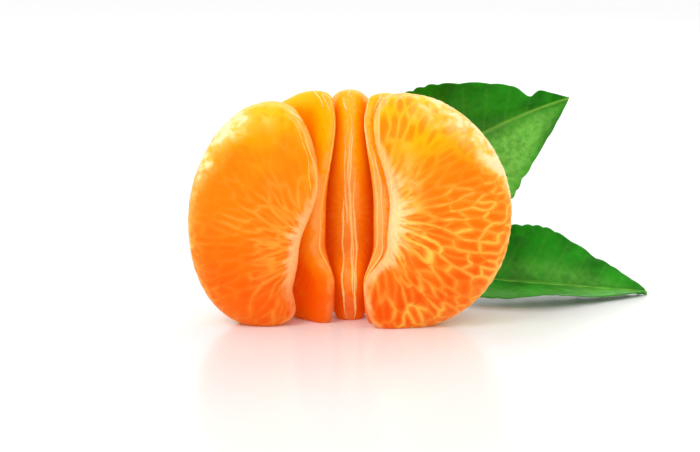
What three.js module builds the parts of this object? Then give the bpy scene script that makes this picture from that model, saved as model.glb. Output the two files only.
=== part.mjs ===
// An opened, peeled mandarin: five segments of one fruit still joined round the hollow core, standing on
// their lower ends, with the fruit's two leaves on a short twig lying behind it. Millimetres, +Z up.
// The open side faces -Y and the core axis is the Z axis before the whole is centred over its footprint.
import * as THREE from "three";

// Segments
const SEGMENT_HEIGHT = 48.4; // lowest point to highest, of a full-sized segment
const SEGMENT_REACH = 28.3; // apex of the wedge to the outer surface at mid-height
const WEDGE_ANGLE = 39.4; // between the two side faces of a segment
const OPENING_ANGLE = 5.6; // neighbours are spread this far at the core, about their outer corners
const SEGMENT_GAP = 0.4; // left between the outer corners of neighbours
const CROWN_AT = 6.4; // apex to where a segment is tallest
const NOTCH_DEPTH = 5.3; // how far the inner edge is hollowed at mid-height
const OUTER_ROUNDING = 6; // depth of the rounding between a side face and the outer surface
const INNER_ROUNDING = 2.6; // the same at the inner edge
const ROUNDNESS = 2.4; // 2 rounds an edge as a circle does, more makes it squarer
const SWELL_DEPTH = 11; // a swollen face reaches its full swelling this far in from the outline
const FOOT_DEPTH = 0.9; // how much the lower end is flattened where it rests
const SEGMENT_SIDES = 48; // points round the outline
const SEGMENT_RINGS = 8; // rings from the outline to the middle of a face

// Leaves and twig
const LEAF_THICKNESS = 0.8;
const PETIOLE_THICKNESS = 1.7;
const PETIOLE_LENGTH = 6;
const UPPER_LEAF_LENGTH = 65;
const UPPER_LEAF_WIDTH = 37;
const LOWER_LEAF_LENGTH = 62;
const LOWER_LEAF_WIDTH = 30;
const LEAF_CLEARANCE = 2.5; // fruit to the leaves and the twig behind it
const TWIG_RADIUS = 1.5;
const TWIG_LENGTH = 24;
const TWIG_SIDES = 10;
const NODE_HEIGHT = 6; // of the twig's tip above what it lies on
const JOIN_GAP = 0.4; // twig to the end of a petiole
const LEAF_STEPS = 22; // along a leaf
const LEAF_LANES = 8; // across a leaf

const COLOURS = { flesh: 0xff8a0a, leaf: 0x1f7a17, twig: 0x6b7a35 };

// Worked out from the sizes above
const rad = THREE.MathUtils.degToRad;
const SPACING = WEDGE_ANGLE - OPENING_ANGLE;
const CORNER_AT = (SEGMENT_REACH - OUTER_ROUNDING / 2) / Math.cos(rad(WEDGE_ANGLE / 2));
const CORNER_SWING = CORNER_AT * Math.sin(rad(OPENING_ANGLE / 2));
const APEX_RADIUS = (SEGMENT_GAP / 2 + CORNER_SWING) / Math.sin(rad(SPACING / 2));
const FRUIT_BACK = APEX_RADIUS + SEGMENT_REACH;

// One entry for each segment, from the left end round the back to the right end.
// place: steps of SPACING from the middle one; crown: where it is tallest, in CROWN_AT; lobes: apex to the
// inner edge above and below the notch; hollow: heights, as shares of half the segment's, between which the
// notch fades out upwards; corner: how square the lobes are; edge: half the thickness at the apex, as a share
// of SEGMENT_REACH; tip: degrees that the top leans outwards; bulges: how far the face towards +t and towards
// -t swells; swing: degrees beyond its place.
const SEGMENTS = [
  {
    name: "segment_left_end",
    place: 2,
    size: 0.965,
    crown: 2,
    lobes: [1.6, 0],
    hollow: [-0.3, 0.4],
    corner: 2.2,
    edge: 0.039,
    tip: -4,
    bulges: [1.6, 0],
    swing: 1,
  },
  {
    name: "segment_left_inner",
    place: 1,
    size: 1,
    crown: 1,
    lobes: [0, 1],
    hollow: [0, 0.85],
    corner: 4,
    edge: 0.039,
    tip: 0,
    bulges: [0, 0],
    swing: 0.5,
  },
  {
    name: "segment_middle",
    place: 0,
    size: 1,
    crown: 1,
    lobes: [1.5, 3],
    hollow: [0, 0.85],
    corner: 4,
    edge: 0.0636,
    tip: 0,
    bulges: [0, 0],
    swing: 0,
  },
  {
    name: "segment_right_inner",
    place: -1,
    size: 0.99,
    crown: 1,
    lobes: [0, 0],
    hollow: [0, 0.85],
    corner: 4,
    edge: 0.039,
    tip: 0,
    bulges: [0, 0],
    swing: -1,
  },
  {
    name: "segment_right_end",
    place: -2,
    size: 1,
    crown: 1,
    lobes: [-1, -2.6],
    hollow: [0, 0.85],
    corner: 4,
    edge: 0.046,
    tip: 0,
    bulges: [0, 1.6],
    swing: -1,
  },
];

// A closed solid from its corner points and its triangles.
function solidFrom(points, faces) {
  const geometry = new THREE.BufferGeometry();
  geometry.setAttribute("position", new THREE.Float32BufferAttribute(points.flat(), 3));
  geometry.setIndex(faces.flat());
  geometry.computeVertexNormals();
  return geometry;
}

// Half the thickness of the wedge at a distance u from its apex; it never closes to nothing.
function wedgeHalf(u, edge) {
  const flat = u * Math.tan(rad(WEDGE_ANGLE / 2));
  const least = edge * SEGMENT_REACH;
  return (flat + Math.sqrt(flat * flat + 4 * least * least)) / 2;
}

// The distance from a point of the segment's plane to its outline.
function distanceTo(outline, u, w) {
  let least = Infinity;
  outline.forEach(([au, aw], k) => {
    const [bu, bw] = outline[(k + 1) % outline.length];
    const [du, dw] = [bu - au, bw - aw];
    const along = THREE.MathUtils.clamp(((u - au) * du + (w - aw) * dw) / (du * du + dw * dw), 0, 1);
    least = Math.min(least, Math.hypot(u - au - du * along, w - aw - dw * along));
  });
  return least;
}

// A point of the segment's outline at an angle round it, as [u, w], w from mid-height.
function outlinePoint(angle, { size, crown, lobes, hollow, corner }) {
  const { smoothstep } = THREE.MathUtils;
  const q = Math.sin(angle);
  const w = (q * SEGMENT_HEIGHT * size) / 2;
  const tallest = CROWN_AT * crown;
  if (Math.cos(angle) >= 0) {
    const fullness = q > 0 ? 1.9 : 2.15;
    const out = (1 - Math.abs(q) ** fullness) ** (1 / fullness);
    return [tallest + (SEGMENT_REACH - tallest) * out, w];
  }
  const [top, bottom] = lobes;
  const lobe = bottom + (top - bottom) * smoothstep(q, -0.5, 0.5);
  const inwards = (1 - Math.abs(q) ** corner) ** (1 / corner);
  const [full, gone] = hollow;
  const notch = NOTCH_DEPTH * smoothstep(q, full - 0.62, full - 0.3) * (1 - smoothstep(q, full, gone));
  return [tallest - (tallest - lobe) * inwards + notch * inwards, w];
}

// A pillow on a D-shaped outline: its faces follow the wedge, rounded towards the outline all round.
function segmentGeometry(segment) {
  const { edge, tip, bulges } = segment;
  const heart = [SEGMENT_REACH * 0.52, 0];
  const turn = (k) => (k / SEGMENT_SIDES) * 2 * Math.PI;
  const outline = Array.from({ length: SEGMENT_SIDES }, (_, k) => outlinePoint(turn(k), segment));
  const points = [];
  const faces = [];
  const ring = (side, row, k) =>
    row === 0 ? k % SEGMENT_SIDES : SEGMENT_SIDES * (row + side * (SEGMENT_RINGS - 1)) + (k % SEGMENT_SIDES);
  const add = (angle, inset, side) => {
    const [u0, w0] = outlinePoint(angle, segment);
    const u = u0 + (heart[0] - u0) * inset;
    const w = w0 + (heart[1] - w0) * inset;
    const deep = inset === 0 ? 0 : distanceTo(outline, u, w);
    const outer = THREE.MathUtils.smoothstep(u, 0, SEGMENT_REACH * 0.6);
    const rounding = INNER_ROUNDING + (OUTER_ROUNDING - INNER_ROUNDING) * outer;
    const depth = Math.min(1, deep / rounding);
    const round = (1 - (1 - depth) ** ROUNDNESS) ** (1 / ROUNDNESS);
    const swell = 1 - (1 - Math.min(1, deep / SWELL_DEPTH)) ** 2;
    const t = (side === 0 ? 1 : -1) * (wedgeHalf(u, edge) * round + bulges[side] * swell);
    const lean = rad(tip);
    const du = u - heart[0];
    points.push([heart[0] + du * Math.cos(lean) + w * Math.sin(lean), t, w * Math.cos(lean) - du * Math.sin(lean)]);
  };
  const insetOf = (row) => (row / SEGMENT_RINGS) ** 1.8;
  for (let k = 0; k < SEGMENT_SIDES; k++) add(turn(k), 0, 0);
  for (const side of [0, 1])
    for (let row = 1; row < SEGMENT_RINGS; row++)
      for (let k = 0; k < SEGMENT_SIDES; k++) add(turn(k), insetOf(row), side);
  for (const side of [0, 1]) add(0, 1, side);
  const centre = (side) => points.length - 2 + side;
  const face = (side, a, b, c) => faces.push(side === 0 ? [a, c, b] : [a, b, c]);
  for (const side of [0, 1])
    for (let k = 0; k < SEGMENT_SIDES; k++) {
      for (let row = 0; row + 1 < SEGMENT_RINGS; row++) {
        const [a, b] = [ring(side, row, k), ring(side, row, k + 1)];
        const [c, d] = [ring(side, row + 1, k + 1), ring(side, row + 1, k)];
        face(side, a, b, c);
        face(side, a, c, d);
      }
      face(side, ring(side, SEGMENT_RINGS - 1, k), ring(side, SEGMENT_RINGS - 1, k + 1), centre(side));
    }
  const lowest = Math.min(...points.map((p) => p[2]));
  for (const p of points) p[2] = Math.max(0, p[2] - lowest - FOOT_DEPTH);
  return solidFrom(points, faces);
}

function segments() {
  const flesh = new THREE.MeshStandardMaterial({ color: COLOURS.flesh, roughness: 0.45, metalness: 0 });
  return SEGMENTS.map((segment) => {
    const mesh = new THREE.Mesh(segmentGeometry(segment), flesh.clone());
    const azimuth = rad(90 + segment.place * SPACING + segment.swing);
    mesh.name = segment.name;
    mesh.position.set(APEX_RADIUS * Math.cos(azimuth), APEX_RADIUS * Math.sin(azimuth), 0);
    mesh.rotation.z = azimuth;
    return mesh;
  });
}

// A direction from a heading (degrees from +X towards +Y) and a climb above the horizontal.
function direction(heading, climb) {
  const [h, c] = [rad(heading), rad(climb)];
  return new THREE.Vector3(Math.cos(h) * Math.cos(c), Math.sin(h) * Math.cos(c), Math.sin(c));
}

// A leaf: a thin closed sheet along a bent midrib. Its halves are folded up from the midrib by their own
// angles, its margin waves, and its stalk end narrows to the petiole.
function leafGeometry(leaf) {
  const half = leaf.length / 2;
  const bend = leaf.base.clone().addScaledVector(direction(...leaf.sets_out), half);
  const end = bend.clone().addScaledVector(direction(...leaf.ends), half);
  const midrib = new THREE.QuadraticBezierCurve3(leaf.base, bend, end);
  const petiole = PETIOLE_LENGTH / leaf.length;
  const rows = [];
  for (let i = 0; i <= LEAF_STEPS; i++) {
    const s = i / LEAF_STEPS;
    const blade = Math.max(0, (s - petiole) / (1 - petiole));
    const centre = midrib.getPoint(s);
    const along = midrib.getTangent(s);
    const facing = leaf.faces.clone().lerp(leaf.tip_faces, s);
    const across = new THREE.Vector3().crossVectors(facing, along).normalize();
    const up = new THREE.Vector3().crossVectors(along, across).normalize();
    const spread = Math.sin(Math.PI * blade ** leaf.fullest) ** 0.9;
    const width = Math.max(PETIOLE_THICKNESS / 2, (leaf.width / 2) * spread * (1 - 0.12 * blade));
    const thick = THREE.MathUtils.lerp(PETIOLE_THICKNESS, LEAF_THICKNESS, Math.min(1, s / petiole));
    const row = [];
    for (let j = 0; j <= LEAF_LANES; j++) {
      const v = (2 * j) / LEAF_LANES - 1;
      const [near, far] = v < 0 ? leaf.folds[0] : leaf.folds[1];
      const fold = rad(near + (far - near) * s) * Math.min(1, blade * 4);
      const out = v * width;
      const lift = Math.abs(out) * Math.sin(fold) + leaf.wave * v * v * Math.sin(2 * Math.PI * leaf.waves * s) * spread;
      const p = centre.clone().addScaledVector(across, out * Math.cos(fold)).addScaledVector(up, lift);
      row.push([p.clone().addScaledVector(up, thick / 2), p.clone().addScaledVector(up, -thick / 2)]);
    }
    rows.push(row);
  }
  return sheetSolid(rows);
}

// Closes a grid of [upper, lower] points into one thin solid.
function sheetSolid(rows) {
  const [m, n] = [rows.length, rows[0].length];
  const points = [0, 1].flatMap((side) => rows.flat().map((pair) => pair[side].toArray()));
  const at = (side, i, j) => side * m * n + i * n + j;
  const faces = [];
  const quad = (a, b, c, d) => faces.push([a, b, c], [a, c, d]);
  for (let i = 0; i + 1 < m; i++)
    for (let j = 0; j + 1 < n; j++) {
      quad(at(0, i, j), at(0, i + 1, j), at(0, i + 1, j + 1), at(0, i, j + 1));
      quad(at(1, i, j), at(1, i, j + 1), at(1, i + 1, j + 1), at(1, i + 1, j));
    }
  for (let i = 0; i + 1 < m; i++) {
    quad(at(0, i, 0), at(1, i, 0), at(1, i + 1, 0), at(0, i + 1, 0));
    quad(at(0, i, n - 1), at(0, i + 1, n - 1), at(1, i + 1, n - 1), at(1, i, n - 1));
  }
  for (let j = 0; j + 1 < n; j++) {
    quad(at(0, 0, j), at(0, 0, j + 1), at(1, 0, j + 1), at(1, 0, j));
    quad(at(0, m - 1, j), at(1, m - 1, j), at(1, m - 1, j + 1), at(0, m - 1, j + 1));
  }
  return solidFrom(points, faces);
}

const BEHIND = FRUIT_BACK + LEAF_CLEARANCE;

// The twig lies on its cut end and rises to the leaves: the lower leaf goes on from its tip, the upper one
// stands on its side.
const TWIG_TIP = new THREE.Vector3(2.5, BEHIND - 1.9, NODE_HEIGHT);
const TWIG_BEND = new THREE.Vector3(TWIG_TIP.x - TWIG_LENGTH * 0.4, BEHIND + 0.4, NODE_HEIGHT - 0.4);
const TWIG_END = new THREE.Vector3(TWIG_TIP.x - TWIG_LENGTH, BEHIND + 2.5, TWIG_RADIUS);
const LOWER_LEAF_BASE = TWIG_TIP.clone().add(new THREE.Vector3(2 * JOIN_GAP, 0, 0));
const UPPER_LEAF_BASE = TWIG_BEND.clone().add(
  new THREE.Vector3(2.5, 0, TWIG_RADIUS + JOIN_GAP + PETIOLE_THICKNESS / 2),
);

function leaves() {
  const green = new THREE.MeshStandardMaterial({ color: COLOURS.leaf, roughness: 0.35, metalness: 0 });
  const plans = [
    {
      name: "leaf_upper",
      length: UPPER_LEAF_LENGTH,
      width: UPPER_LEAF_WIDTH,
      base: UPPER_LEAF_BASE,
      sets_out: [0, 50],
      ends: [-3, 18],
      faces: new THREE.Vector3(0.1, -1, 0.3),
      tip_faces: new THREE.Vector3(0.1, -1, 0),
      folds: [
        [12, 12],
        [2, 42],
      ],
      fullest: 0.95,
      wave: 1.2,
      waves: 2,
    },
    {
      name: "leaf_lower",
      length: LOWER_LEAF_LENGTH,
      width: LOWER_LEAF_WIDTH,
      base: LOWER_LEAF_BASE,
      sets_out: [2, -6],
      ends: [-1, -4],
      faces: new THREE.Vector3(0, -0.35, 1),
      tip_faces: new THREE.Vector3(0, -0.35, 1),
      folds: [
        [8, 25],
        [35, 25],
      ],
      fullest: 1.08,
      wave: 0.8,
      waves: 2,
    },
  ];
  return plans.map((plan) => {
    const mesh = new THREE.Mesh(leafGeometry(plan), green.clone());
    mesh.name = plan.name;
    return mesh;
  });
}

function twig() {
  const shape = new THREE.Shape();
  for (let k = 0; k < TWIG_SIDES; k++) {
    const a = (k / TWIG_SIDES) * 2 * Math.PI;
    const [x, y] = [TWIG_RADIUS * Math.cos(a), TWIG_RADIUS * Math.sin(a)];
    if (k === 0) shape.moveTo(x, y);
    else shape.lineTo(x, y);
  }
  shape.closePath();
  const path = new THREE.CatmullRomCurve3([TWIG_END, TWIG_BEND, TWIG_TIP]);
  const geometry = new THREE.ExtrudeGeometry(shape, { steps: 10, bevelEnabled: false, extrudePath: path });
  const wood = new THREE.MeshStandardMaterial({ color: COLOURS.twig, roughness: 0.7, metalness: 0 });
  const mesh = new THREE.Mesh(geometry, wood);
  mesh.name = "twig";
  return mesh;
}

const mandarin = new THREE.Group();
mandarin.add(...segments(), ...leaves(), twig());
const box = new THREE.Box3().setFromObject(mandarin, true);
mandarin.children.forEach((piece) => {
  piece.position.x -= (box.min.x + box.max.x) / 2;
  piece.position.y -= (box.min.y + box.max.y) / 2;
});

export default mandarin;
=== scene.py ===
"""Dresses an opened, peeled mandarin and its leaves: fine segments, pith strands, leaf blades and twig.

Shapes are worked out in millimetres in each segment's own plane and turned into metres when a mesh is made.
"""

import math

import bpy
import numpy as np
from bpy.props import FloatProperty, FloatVectorProperty, IntProperty, PointerProperty
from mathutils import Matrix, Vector


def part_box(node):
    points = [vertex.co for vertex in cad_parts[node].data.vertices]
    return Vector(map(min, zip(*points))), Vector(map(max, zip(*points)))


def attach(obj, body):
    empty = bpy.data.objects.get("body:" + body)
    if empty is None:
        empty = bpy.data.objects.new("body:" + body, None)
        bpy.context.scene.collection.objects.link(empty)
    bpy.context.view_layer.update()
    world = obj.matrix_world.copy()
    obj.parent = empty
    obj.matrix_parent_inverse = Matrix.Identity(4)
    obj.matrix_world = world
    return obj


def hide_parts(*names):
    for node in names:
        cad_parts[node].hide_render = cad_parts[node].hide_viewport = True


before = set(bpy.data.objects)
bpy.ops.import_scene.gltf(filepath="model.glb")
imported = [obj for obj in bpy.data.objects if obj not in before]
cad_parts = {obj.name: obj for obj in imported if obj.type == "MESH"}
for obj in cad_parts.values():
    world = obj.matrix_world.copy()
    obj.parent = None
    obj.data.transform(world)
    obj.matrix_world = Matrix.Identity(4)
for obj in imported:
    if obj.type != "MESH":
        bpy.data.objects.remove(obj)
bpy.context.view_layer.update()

bl_info = {
    "name": "Opened mandarin",
    "version": (1, 0, 0),
    "blender": (4, 5, 0),
    "location": "View3D > Sidebar > Mandarin",
    "description": "Makes a peeled, opened mandarin with its leaves",
    "category": "Add Mesh",
}

MM = 0.001

# Each segment's own shape, in the order they stand round the core, left end to right end.
# place: steps round the core from the middle one; crown: where it is tallest, in crown sizes; lobes: apex to
# the inner edge above and below the notch; hollow: heights, as shares of half the segment's, between which
# the notch fades out upwards; corner: how square the lobes are; edge: half the thickness at the apex, as a
# share of the reach; tip: degrees the top leans outwards; bulges: swelling of the face towards +t and
# towards -t; swing: degrees beyond its place; free: the face that looks out of the opening, or 0.
# pith, veins, haze: how much of each it wears, from 0 to 1; haze is the film with its painted highlight.
SEGMENTS = {
    "segment_left_end": dict(
        place=2, size=0.965, crown=2, lobes=(1.6, 0.0), hollow=(-0.3, 0.4), corner=2.2, edge=0.039, tip=-4,
        bulges=(1.6, 0.0), swing=1, free=1, pith=0.45, veins=0.35, haze=0.8,
    ),
    "segment_left_inner": dict(
        place=1, size=1.0, crown=1, lobes=(0.0, 1.0), hollow=(0, 0.85), corner=4, edge=0.039, tip=0,
        bulges=(0.0, 0.0), swing=0.5, free=0, pith=0.05, veins=0.25, haze=0.7,
    ),
    "segment_middle": dict(
        place=0, size=1.0, crown=1, lobes=(1.5, 3.0), hollow=(0, 0.85), corner=4, edge=0.0636, tip=0,
        bulges=(0.0, 0.0), swing=0, free=0, pith=0.05, veins=0.25, haze=0.4,
    ),
    "segment_right_inner": dict(
        place=-1, size=0.99, crown=1, lobes=(0.0, 0.0), hollow=(0, 0.85), corner=4, edge=0.039, tip=0,
        bulges=(0.0, 0.0), swing=-1, free=0, pith=0.12, veins=0.3, haze=1.0,
    ),
    "segment_right_end": dict(
        place=-2, size=1.0, crown=1, lobes=(-1.0, -2.6), hollow=(0, 0.85), corner=4, edge=0.046, tip=0,
        bulges=(0.0, 1.6), swing=-1, free=-1, pith=0.95, veins=1.0, haze=1.0,
    ),
}


# ---------------------------------------------------------------- numbers

SEED_STEP, THREAD_SEED = 100, 900  # each segment has its own random patterns and threads


def smoothstep(x, low, high):
    """Rises softly from 0 at low to 1 at high; falls where low is above high."""
    t = np.clip((x - low) / (high - low), 0.0, 1.0)
    return t * t * (3 - 2 * t)


def lattice(ix, iy, iz, seed):
    """A fixed random number from 0 to 1 for each cell of a lattice."""
    mask = np.uint64(0xFFFFFFFF)
    h = ix.astype(np.int64).astype(np.uint64) * np.uint64(374761393)
    h = h + iy.astype(np.int64).astype(np.uint64) * np.uint64(668265263)
    h = h + iz.astype(np.int64).astype(np.uint64) * np.uint64(2246822519) + np.uint64(seed * 3266489917)
    h = h & mask
    h = ((h ^ (h >> np.uint64(15))) * np.uint64(2246822519)) & mask
    h = ((h ^ (h >> np.uint64(13))) * np.uint64(3266489917)) & mask
    return ((h ^ (h >> np.uint64(16))) & mask).astype(np.float64) / 4294967295.0


def noise(points, cell, seed):
    """Smooth noise from 0 to 1 at points (n, 3), its lumps about cell across."""
    q = np.asarray(points, dtype=np.float64) / cell
    base = np.floor(q)
    f = q - base
    f = f * f * (3 - 2 * f)
    total = 0.0
    for dx in (0, 1):
        for dy in (0, 1):
            for dz in (0, 1):
                weight = (f[:, 0] if dx else 1 - f[:, 0]) * (f[:, 1] if dy else 1 - f[:, 1])
                weight = weight * (f[:, 2] if dz else 1 - f[:, 2])
                total = total + weight * lattice(base[:, 0] + dx, base[:, 1] + dy, base[:, 2] + dz, seed)
    return total


def layered_noise(points, cell, seed, layers=3):
    """Noise from 0 to 1 with finer and fainter layers on top of the first."""
    total, weight, sum_of = 0.0, 1.0, 0.0
    for layer in range(layers):
        total = total + weight * noise(points, cell / 2**layer, seed + 17 * layer)
        sum_of += weight
        weight *= 0.5
    return total / sum_of


# ---------------------------------------------------------------- meshes


def write_attributes(mesh, attributes):
    """Point attributes, by name, from lists of numbers."""
    for key, values in attributes.items():
        layer = mesh.attributes.new(key, "FLOAT", "POINT")
        layer.data.foreach_set("value", np.asarray(values, dtype=np.float32))


def link(name, data):
    """A new object in the scene."""
    made = bpy.data.objects.new(name, data)
    bpy.context.scene.collection.objects.link(made)
    return made


def new_mesh_object(name, points_mm, faces, attributes, material):
    """A mesh object from points in millimetres, lists of faces of equal size, and point attributes."""
    mesh = bpy.data.meshes.new(name)
    loops = np.concatenate([np.asarray(f, dtype=np.int32).ravel() for f in faces])
    sizes = np.concatenate([np.full(len(f), len(f[0]), dtype=np.int32) for f in faces])
    starts = np.concatenate([[0], np.cumsum(sizes)[:-1]]).astype(np.int32)
    mesh.vertices.add(len(points_mm))
    mesh.vertices.foreach_set("co", (np.asarray(points_mm) * MM).astype(np.float32).ravel())
    mesh.loops.add(len(loops))
    mesh.loops.foreach_set("vertex_index", loops)
    mesh.polygons.add(len(sizes))
    mesh.polygons.foreach_set("loop_start", starts)
    mesh.polygons.foreach_set("loop_total", sizes)
    mesh.update(calc_edges=True)
    mesh.polygons.foreach_set("use_smooth", np.ones(len(sizes), dtype=bool))
    write_attributes(mesh, attributes)
    mesh.validate()
    mesh.materials.append(material)
    return link(name, mesh)


def hand_over(piece, node):
    """Hides the solid that a finished piece stands in for and hangs the piece on the root body, so that all of
    them rest as one body.
    """
    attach(piece, "root")
    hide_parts(node)


def tube_faces(rows, around):
    """Faces of rows of points round a closed shape, whose two end points follow them."""
    index = np.arange(rows * around).reshape(rows, around)
    ahead = np.roll(index, -1, axis=1)
    quads = np.stack([index[:-1], ahead[:-1], ahead[1:], index[1:]], -1).reshape(-1, 4)
    first, last = np.full(around, rows * around), np.full(around, rows * around + 1)
    start = np.stack([first, ahead[0], index[0]], -1)
    end = np.stack([last, index[-1], ahead[-1]], -1)
    return [quads, np.concatenate([start, end])]


def unit(v):
    return v / np.linalg.norm(v, axis=-1, keepdims=True)


def bow(start, control, end, s):
    """Points of the curve from start to end that control pulls towards itself."""
    return (1 - s) ** 2 * start + 2 * s * (1 - s) * control + s**2 * end


def normals_of(points, faces):
    """Smooth normals of the points of a mesh, from faces that turn anticlockwise seen from outside."""
    total = np.zeros_like(points)
    for group in faces:
        group = np.asarray(group)
        across = points[group[:, 2]] - points[group[:, 0]]
        along = points[group[:, -1]] - points[group[:, 1]]
        normal = np.cross(across, along)
        for corner in range(group.shape[1]):
            np.add.at(total, group[:, corner], normal)
    return total / np.maximum(np.linalg.norm(total, axis=1, keepdims=True), 1e-12)


# ---------------------------------------------------------------- shader building


def plug(tree, socket, value):
    """Links a socket, or sets its own value."""
    if isinstance(value, Wire):
        tree.links.new(value.socket, socket)
    elif isinstance(value, bpy.types.NodeSocket):
        tree.links.new(value, socket)
    elif socket.type == "RGBA":
        socket.default_value = (*value, 1)
    else:
        socket.default_value = value


def add_node(tree, kind, settings=None, values=None):
    """A node of a material or of Geometry Nodes: settings first, then the values or links of its sockets."""
    made = tree.nodes.new(kind)
    for key, value in (settings or {}).items():
        setattr(made, key, value)
    for key, value in (values or {}).items():
        plug(tree, made.inputs[key], value)
    return made


class Wire:
    """A number in a material's tree; arithmetic on it adds Math nodes."""

    def __init__(self, finish, socket):
        self.finish, self.socket = finish, socket

    def _with(self, operation, first, second):
        made = self.finish.node("ShaderNodeMath", {"operation": operation}, {0: first, 1: second})
        return Wire(self.finish, made.outputs[0])

    def __add__(self, other):
        return self._with("ADD", self, other)

    __radd__ = __add__

    def __sub__(self, other):
        return self._with("SUBTRACT", self, other)

    def __rsub__(self, other):
        return self._with("SUBTRACT", other, self)

    def __mul__(self, other):
        return self._with("MULTIPLY", self, other)

    __rmul__ = __mul__


class Finish:
    """A node material on one Principled surface."""

    def __init__(self, name):
        self.material = bpy.data.materials.new(name)
        self.material.use_nodes = True
        self.tree = self.material.node_tree
        self.tree.nodes.clear()
        self.surface = self.node("ShaderNodeBsdfPrincipled")
        out = self.node("ShaderNodeOutputMaterial")
        self.tree.links.new(self.surface.outputs[0], out.inputs["Surface"])

    def node(self, kind, settings=None, values=None):
        """A node with its settings, then the values or links of its sockets."""
        return add_node(self.tree, kind, settings, values)

    def attribute(self, name):
        made = self.node("ShaderNodeAttribute", {"attribute_type": "GEOMETRY", "attribute_name": name})
        return Wire(self, made.outputs["Fac"])

    def place(self):
        return self.node("ShaderNodeTexCoord").outputs["Object"]

    def noise(self, scale, detail=3.0, roughness=0.55, stretch=None):
        """Noise from 0 to 1 on object coordinates, scale in lumps for each metre."""
        vector = self.place()
        if stretch:
            vector = self.node("ShaderNodeMapping", None, {"Vector": vector, "Scale": stretch}).outputs[0]
        values = {"Vector": vector, "Scale": scale, "Detail": detail, "Roughness": roughness}
        return Wire(self, self.node("ShaderNodeTexNoise", None, values).outputs[0])

    def span(self, value, low, high, to_low=0.0, to_high=1.0):
        """Carries value softly from low..high to to_low..to_high, held at the ends."""
        values = {0: value, 1: low, 2: high, 3: to_low, 4: to_high}
        made = self.node("ShaderNodeMapRange", {"clamp": True, "interpolation_type": "SMOOTHSTEP"}, values)
        return Wire(self, made.outputs[0])

    def mix(self, factor, first, second):
        """The first colour where factor is 0, the second where it is 1."""
        made = self.node("ShaderNodeMix", {"data_type": "RGBA"}, {0: factor, 6: first, 7: second})
        return made.outputs[2]

    def bump(self, height, distance, strength, after=None):
        """A normal that height from 0 to 1 tilts, as relief distance metres deep."""
        values = {"Height": height, "Distance": distance, "Strength": strength}
        if after is not None:
            values["Normal"] = after
        return self.node("ShaderNodeBump", None, values).outputs[0]

    def surface_values(self, **values):
        """Sets or links the surface's sockets and gives back the finished material."""
        for key, value in values.items():
            plug(self.tree, self.surface.inputs[key.replace("_", " ")], value)
        return self.material


# ---------------------------------------------------------------- settings


class MandarinFleshSettings(bpy.types.PropertyGroup):
    """Sizes and colours of the segments"""

    height: FloatProperty(name="Segment height", description="Before the foot is flattened",
                          default=48.4 * MM, unit="LENGTH")
    reach: FloatProperty(name="Segment reach", description="Apex of the wedge to the outer surface",
                         default=28.3 * MM, unit="LENGTH")
    wedge: FloatProperty(name="Wedge angle", description="Between the side faces of a segment",
                         default=math.radians(39.4), subtype="ANGLE")
    opening: FloatProperty(name="Opening angle", description="Neighbours are spread this far at the core",
                           default=math.radians(5.6), subtype="ANGLE")
    gap: FloatProperty(name="Segment gap", description="Between the outer corners of neighbours",
                       default=0.4 * MM, unit="LENGTH")
    crown: FloatProperty(name="Crown", description="Apex to where a segment is tallest", default=6.4 * MM,
                         unit="LENGTH")
    notch: FloatProperty(name="Notch depth", description="Hollow of the inner edge", default=5.3 * MM,
                         unit="LENGTH")
    outer_rounding: FloatProperty(name="Outer rounding", description="Side face to outer surface",
                                  default=6 * MM, unit="LENGTH")
    inner_rounding: FloatProperty(name="Inner rounding", description="Rounding at the inner edge",
                                  default=2.6 * MM, unit="LENGTH")
    foot: FloatProperty(name="Foot depth", description="How much the lower end is flattened",
                        default=0.9 * MM, unit="LENGTH")
    dimple: FloatProperty(name="Sac relief", description="How far a juice sac swells under the membrane",
                          default=0.2 * MM, unit="LENGTH")
    around: IntProperty(name="Points round the outline", description="Fineness", default=420, min=60)
    rows: IntProperty(name="Rows to the middle", description="Fineness of a face", default=104, min=20)
    # Painted light: the lower flesh colour is a deeper red painted shade and the upper flesh colour a yellower
    # painted light, as if lit from above.
    shaded_lower_flesh: FloatVectorProperty(name="Lower flesh", description="Juice colour low down", subtype="COLOR",
                              default=(0.82, 0.092, 0.0), size=3)
    middle: FloatVectorProperty(name="Flesh at mid-height", description="Juice colour half way up",
                                subtype="COLOR", default=(0.86, 0.205, 0.0), size=3)
    bright: FloatVectorProperty(name="Upper flesh", description="Juice colour high up", subtype="COLOR",
                                default=(0.92, 0.5, 0.0), size=3)
    vein: FloatVectorProperty(name="Veins", description="Colour of the membrane's veins", subtype="COLOR",
                              default=(1.0, 0.63, 0.09), size=3)
    pith: FloatVectorProperty(name="Pith", description="Colour of the pith", subtype="COLOR",
                              default=(1.0, 0.74, 0.36), size=3)


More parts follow.
